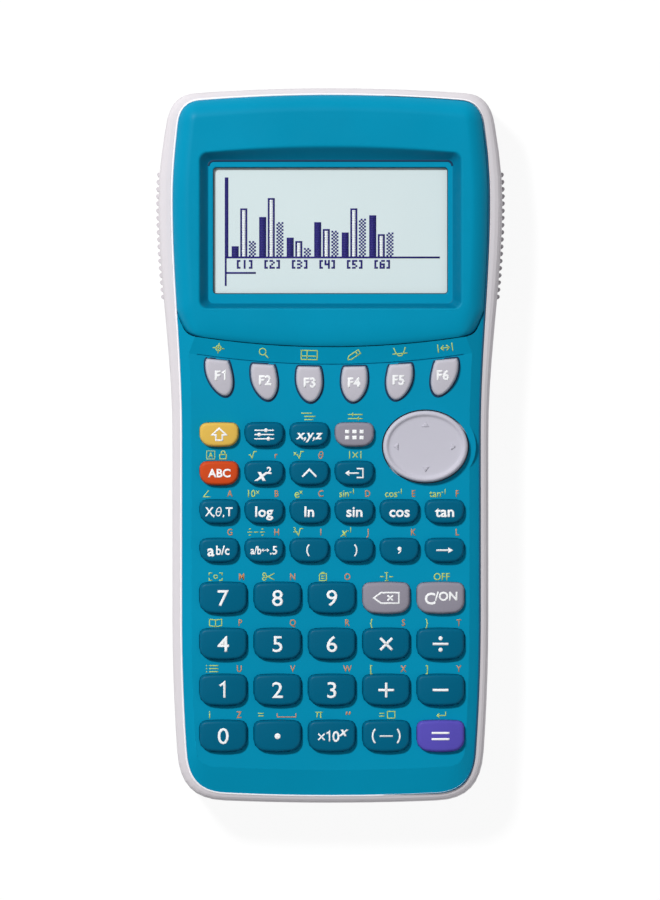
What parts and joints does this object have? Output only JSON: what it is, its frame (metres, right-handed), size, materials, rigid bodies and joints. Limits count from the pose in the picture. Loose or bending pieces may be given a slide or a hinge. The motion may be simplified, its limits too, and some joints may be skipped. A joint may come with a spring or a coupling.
{
  "type": "graphing calculator",
  "caption": "Handheld graphing calculator with a wide display, function keys, an oval cursor pad and rows of sprung keys in a two-shell casing with a battery cover.",
  "frame": {"origin": "under the middle of the body, in the plane of the feet that it rests on", "axes": "+Z out of the keys, +Y towards the display end, +X to the right seen from above with the display end up"},
  "size_m": [0.082, 0.168, 0.0195],
  "materials": {
    "teal_plastic": "fine satin moulding",
    "deep_teal_plastic": "satin key cap",
    "pale_plastic": "fine matt texture",
    "lilac_grey_plastic": "satin key cap",
    "grey_plastic": "satin key cap",
    "yellow_plastic": "satin key cap",
    "orange_plastic": "satin key cap",
    "violet_plastic": "satin key cap",
    "clear_window": "clear pane",
    "lcd_glass": "reflective display",
    "dome_rubber": "silicone sheet",
    "board": "green solder mask",
    "cell_jacket": "plain steel jacket",
    "contact_metal": "nickel plate",
    "screw_steel": "zinc plate",
    "socket_metal": "tin plate"
  },
  "bodies": {
    "body": {"front_casing": "teal_plastic", "display_bezel": "teal_plastic", "display_window": "clear_window", "lcd_panel": "lcd_glass", "keypad_rubber": "dome_rubber", "circuit_board": "board", "rear_casing": "pale_plastic", "batteries": "cell_jacket", "battery_contacts": "contact_metal", "casing_screws": "screw_steel", "link_ports": "socket_metal"},
    "battery_cover": {"battery_cover": "pale_plastic"},
    "cursor_pivot": {"cursor_pivot": "grey_plastic"},
    "cursor_pad": {"cursor_pad": "lilac_grey_plastic"},
    "key_f1": {"key_f1": "lilac_grey_plastic"},
    "key_f2": {"key_f2": "lilac_grey_plastic"},
    "key_f3": {"key_f3": "lilac_grey_plastic"},
    "key_f4": {"key_f4": "lilac_grey_plastic"},
    "key_f5": {"key_f5": "lilac_grey_plastic"},
    "key_f6": {"key_f6": "lilac_grey_plastic"},
    "key_shift": {"key_shift": "yellow_plastic"},
    "key_option": {"key_option": "deep_teal_plastic"},
    "key_variable": {"key_variable": "deep_teal_plastic"},
    "key_menu": {"key_menu": "grey_plastic"},
    "key_alpha": {"key_alpha": "orange_plastic"},
    "key_square": {"key_square": "deep_teal_plastic"},
    "key_power": {"key_power": "deep_teal_plastic"},
    "key_exit": {"key_exit": "deep_teal_plastic"},
    "key_variable_x": {"key_variable_x": "deep_teal_plastic"},
    "key_log": {"key_log": "deep_teal_plastic"},
    "key_ln": {"key_ln": "deep_teal_plastic"},
    "key_sin": {"key_sin": "deep_teal_plastic"},
    "key_cos": {"key_cos": "deep_teal_plastic"},
    "key_tan": {"key_tan": "deep_teal_plastic"},
    "key_fraction": {"key_fraction": "deep_teal_plastic"},
    "key_convert": {"key_convert": "deep_teal_plastic"},
    "key_open_bracket": {"key_open_bracket": "deep_teal_plastic"},
    "key_close_bracket": {"key_close_bracket": "deep_teal_plastic"},
    "key_comma": {"key_comma": "deep_teal_plastic"},
    "key_store": {"key_store": "deep_teal_plastic"},
    "key_7": {"key_7": "deep_teal_plastic"},
    "key_8": {"key_8": "deep_teal_plastic"},
    "key_9": {"key_9": "deep_teal_plastic"},
    "key_delete": {"key_delete": "grey_plastic"},
    "key_on_clear": {"key_on_clear": "grey_plastic"},
    "key_4": {"key_4": "deep_teal_plastic"},
    "key_5": {"key_5": "deep_teal_plastic"},
    "key_6": {"key_6": "deep_teal_plastic"},
    "key_multiply": {"key_multiply": "deep_teal_plastic"},
    "key_divide": {"key_divide": "deep_teal_plastic"},
    "key_1": {"key_1": "deep_teal_plastic"},
    "key_2": {"key_2": "deep_teal_plastic"},
    "key_3": {"key_3": "deep_teal_plastic"},
    "key_plus": {"key_plus": "deep_teal_plastic"},
    "key_minus": {"key_minus": "deep_teal_plastic"},
    "key_0": {"key_0": "deep_teal_plastic"},
    "key_point": {"key_point": "deep_teal_plastic"},
    "key_exponent": {"key_exponent": "deep_teal_plastic"},
    "key_negative": {"key_negative": "deep_teal_plastic"},
    "key_execute": {"key_execute": "violet_plastic"}
  },
  "joints": [
    {"name": "battery_cover_hinge", "type": "hinge", "parent": "body", "child": "battery_cover", "pos_m": [0, 0.03771, 0.0006], "axis": [1, 0, 0], "range_deg": [0, 50]},
    {"name": "cursor_up_down", "type": "hinge", "parent": "body", "child": "cursor_pivot", "pos_m": [0.0223, -0.00024, 0.0151], "axis": [1, 0, 0], "range_deg": [-2.2, 2.2], "stiffness_Nm_per_rad": 0.12, "deforming": ["keypad_rubber"]},
    {"name": "cursor_left_right", "type": "hinge", "parent": "cursor_pivot", "child": "cursor_pad", "pos_m": [0.0223, -0.00024, 0.0151], "axis": [0, 1, 0], "range_deg": [-2.2, 2.2], "stiffness_Nm_per_rad": 0.12, "deforming": ["keypad_rubber"]},
    {"name": "key_execute_press", "type": "slide", "parent": "body", "child": "key_execute", "axis": [0, 0, -1], "range_m": [0, 0.0007], "stiffness_N_per_m": 900, "deforming": ["keypad_rubber"]},
    {"name": "key_shift_press", "type": "slide", "parent": "body", "child": "key_shift", "axis": [0, 0, -1], "range_m": [0, 0.0007], "stiffness_N_per_m": 900, "deforming": ["keypad_rubber"]},
    {"name": "key_f1_press", "type": "slide", "parent": "body", "child": "key_f1", "axis": [0, 0, -1], "range_m": [0, 0.0007], "stiffness_N_per_m": 900, "deforming": ["keypad_rubber"]},
    {"name": "key_7_press", "type": "slide", "parent": "body", "child": "key_7", "axis": [0, 0, -1], "range_m": [0, 0.0007], "stiffness_N_per_m": 900, "deforming": ["keypad_rubber"]},
    {"name": "key_on_clear_press", "type": "slide", "parent": "body", "child": "key_on_clear", "axis": [0, 0, -1], "range_m": [0, 0.0007], "stiffness_N_per_m": 900, "deforming": ["keypad_rubber"]},
    {"name": "key_variable_x_press", "type": "slide", "parent": "body", "child": "key_variable_x", "axis": [0, 0, -1], "range_m": [0, 0.0007], "stiffness_N_per_m": 900, "deforming": ["keypad_rubber"]},
    {"name": "key_f6_press", "type": "slide", "parent": "body", "child": "key_f6", "axis": [0, 0, -1], "range_m": [0, 0.0007], "stiffness_N_per_m": 900, "deforming": ["keypad_rubber"]},
    {"name": "key_alpha_press", "type": "slide", "parent": "body", "child": "key_alpha", "axis": [0, 0, -1], "range_m": [0, 0.0007], "stiffness_N_per_m": 900, "deforming": ["keypad_rubber"]},
    {"name": "key_f2_press", "type": "slide", "parent": "body", "child": "key_f2", "axis": [0, 0, -1], "range_m": [0, 0.0007], "stiffness_N_per_m": 900, "deforming": ["keypad_rubber"]},
    {"name": "key_f3_press", "type": "slide", "parent": "body", "child": "key_f3", "axis": [0, 0, -1], "range_m": [0, 0.0007], "stiffness_N_per_m": 900, "deforming": ["keypad_rubber"]},
    {"name": "key_f4_press", "type": "slide", "parent": "body", "child": "key_f4", "axis": [0, 0, -1], "range_m": [0, 0.0007], "stiffness_N_per_m": 900, "deforming": ["keypad_rubber"]},
    {"name": "key_f5_press", "type": "slide", "parent": "body", "child": "key_f5", "axis": [0, 0, -1], "range_m": [0, 0.0007], "stiffness_N_per_m": 900, "deforming": ["keypad_rubber"]},
    {"name": "key_option_press", "type": "slide", "parent": "body", "child": "key_option", "axis": [0, 0, -1], "range_m": [0, 0.0007], "stiffness_N_per_m": 900, "deforming": ["keypad_rubber"]},
    {"name": "key_variable_press", "type": "slide", "parent": "body", "child": "key_variable", "axis": [0, 0, -1], "range_m": [0, 0.0007], "stiffness_N_per_m": 900, "deforming": ["keypad_rubber"]},
    {"name": "key_menu_press", "type": "slide", "parent": "body", "child": "key_menu", "axis": [0, 0, -1], "range_m": [0, 0.0007], "stiffness_N_per_m": 900, "deforming": ["keypad_rubber"]},
    {"name": "key_square_press", "type": "slide", "parent": "body", "child": "key_square", "axis": [0, 0, -1], "range_m": [0, 0.0007], "stiffness_N_per_m": 900, "deforming": ["keypad_rubber"]},
    {"name": "key_power_press", "type": "slide", "parent": "body", "child": "key_power", "axis": [0, 0, -1], "range_m": [0, 0.0007], "stiffness_N_per_m": 900, "deforming": ["keypad_rubber"]},
    {"name": "key_exit_press", "type": "slide", "parent": "body", "child": "key_exit", "axis": [0, 0, -1], "range_m": [0, 0.0007], "stiffness_N_per_m": 900, "deforming": ["keypad_rubber"]},
    {"name": "key_log_press", "type": "slide", "parent": "body", "child": "key_log", "axis": [0, 0, -1], "range_m": [0, 0.0007], "stiffness_N_per_m": 900, "deforming": ["keypad_rubber"]},
    {"name": "key_ln_press", "type": "slide", "parent": "body", "child": "key_ln", "axis": [0, 0, -1], "range_m": [0, 0.0007], "stiffness_N_per_m": 900, "deforming": ["keypad_rubber"]},
    {"name": "key_sin_press", "type": "slide", "parent": "body", "child": "key_sin", "axis": [0, 0, -1], "range_m": [0, 0.0007], "stiffness_N_per_m": 900, "deforming": ["keypad_rubber"]},
    {"name": "key_cos_press", "type": "slide", "parent": "body", "child": "key_cos", "axis": [0, 0, -1], "range_m": [0, 0.0007], "stiffness_N_per_m": 900, "deforming": ["keypad_rubber"]},
    {"name": "key_tan_press", "type": "slide", "parent": "body", "child": "key_tan", "axis": [0, 0, -1], "range_m": [0, 0.0007], "stiffness_N_per_m": 900, "deforming": ["keypad_rubber"]},
    {"name": "key_fraction_press", "type": "slide", "parent": "body", "child": "key_fraction", "axis": [0, 0, -1], "range_m": [0, 0.0007], "stiffness_N_per_m": 900, "deforming": ["keypad_rubber"]},
    {"name": "key_convert_press", "type": "slide", "parent": "body", "child": "key_convert", "axis": [0, 0, -1], "range_m": [0, 0.0007], "stiffness_N_per_m": 900, "deforming": ["keypad_rubber"]},
    {"name": "key_open_bracket_press", "type": "slide", "parent": "body", "child": "key_open_bracket", "axis": [0, 0, -1], "range_m": [0, 0.0007], "stiffness_N_per_m": 900, "deforming": ["keypad_rubber"]},
    {"name": "key_close_bracket_press", "type": "slide", "parent": "body", "child": "key_close_bracket", "axis": [0, 0, -1], "range_m": [0, 0.0007], "stiffness_N_per_m": 900, "deforming": ["keypad_rubber"]},
    {"name": "key_comma_press", "type": "slide", "parent": "body", "child": "key_comma", "axis": [0, 0, -1], "range_m": [0, 0.0007], "stiffness_N_per_m": 900, "deforming": ["keypad_rubber"]},
    {"name": "key_store_press", "type": "slide", "parent": "body", "child": "key_store", "axis": [0, 0, -1], "range_m": [0, 0.0007], "stiffness_N_per_m": 900, "deforming": ["keypad_rubber"]},
    {"name": "key_8_press", "type": "slide", "parent": "body", "child": "key_8", "axis": [0, 0, -1], "range_m": [0, 0.0007], "stiffness_N_per_m": 900, "deforming": ["keypad_rubber"]},
    {"name": "key_9_press", "type": "slide", "parent": "body", "child": "key_9", "axis": [0, 0, -1], "range_m": [0, 0.0007], "stiffness_N_per_m": 900, "deforming": ["keypad_rubber"]},
    {"name": "key_delete_press", "type": "slide", "parent": "body", "child": "key_delete", "axis": [0, 0, -1], "range_m": [0, 0.0007], "stiffness_N_per_m": 900, "deforming": ["keypad_rubber"]},
    {"name": "key_4_press", "type": "slide", "parent": "body", "child": "key_4", "axis": [0, 0, -1], "range_m": [0, 0.0007], "stiffness_N_per_m": 900, "deforming": ["keypad_rubber"]},
    {"name": "key_5_press", "type": "slide", "parent": "body", "child": "key_5", "axis": [0, 0, -1], "range_m": [0, 0.0007], "stiffness_N_per_m": 900, "deforming": ["keypad_rubber"]},
    {"name": "key_6_press", "type": "slide", "parent": "body", "child": "key_6", "axis": [0, 0, -1], "range_m": [0, 0.0007], "stiffness_N_per_m": 900, "deforming": ["keypad_rubber"]},
    {"name": "key_multiply_press", "type": "slide", "parent": "body", "child": "key_multiply", "axis": [0, 0, -1], "range_m": [0, 0.0007], "stiffness_N_per_m": 900, "deforming": ["keypad_rubber"]},
    {"name": "key_divide_press", "type": "slide", "parent": "body", "child": "key_divide", "axis": [0, 0, -1], "range_m": [0, 0.0007], "stiffness_N_per_m": 900, "deforming": ["keypad_rubber"]},
    {"name": "key_1_press", "type": "slide", "parent": "body", "child": "key_1", "axis": [0, 0, -1], "range_m": [0, 0.0007], "stiffness_N_per_m": 900, "deforming": ["keypad_rubber"]},
    {"name": "key_2_press", "type": "slide", "parent": "body", "child": "key_2", "axis": [0, 0, -1], "range_m": [0, 0.0007], "stiffness_N_per_m": 900, "deforming": ["keypad_rubber"]},
    {"name": "key_3_press", "type": "slide", "parent": "body", "child": "key_3", "axis": [0, 0, -1], "range_m": [0, 0.0007], "stiffness_N_per_m": 900, "deforming": ["keypad_rubber"]},
    {"name": "key_plus_press", "type": "slide", "parent": "body", "child": "key_plus", "axis": [0, 0, -1], "range_m": [0, 0.0007], "stiffness_N_per_m": 900, "deforming": ["keypad_rubber"]},
    {"name": "key_minus_press", "type": "slide", "parent": "body", "child": "key_minus", "axis": [0, 0, -1], "range_m": [0, 0.0007], "stiffness_N_per_m": 900, "deforming": ["keypad_rubber"]},
    {"name": "key_0_press", "type": "slide", "parent": "body", "child": "key_0", "axis": [0, 0, -1], "range_m": [0, 0.0007], "stiffness_N_per_m": 900, "deforming": ["keypad_rubber"]},
    {"name": "key_point_press", "type": "slide", "parent": "body", "child": "key_point", "axis": [0, 0, -1], "range_m": [0, 0.0007], "stiffness_N_per_m": 900, "deforming": ["keypad_rubber"]},
    {"name": "key_exponent_press", "type": "slide", "parent": "body", "child": "key_exponent", "axis": [0, 0, -1], "range_m": [0, 0.0007], "stiffness_N_per_m": 900, "deforming": ["keypad_rubber"]},
    {"name": "key_negative_press", "type": "slide", "parent": "body", "child": "key_negative", "axis": [0, 0, -1], "range_m": [0, 0.0007], "stiffness_N_per_m": 900, "deforming": ["keypad_rubber"]}
  ]
}
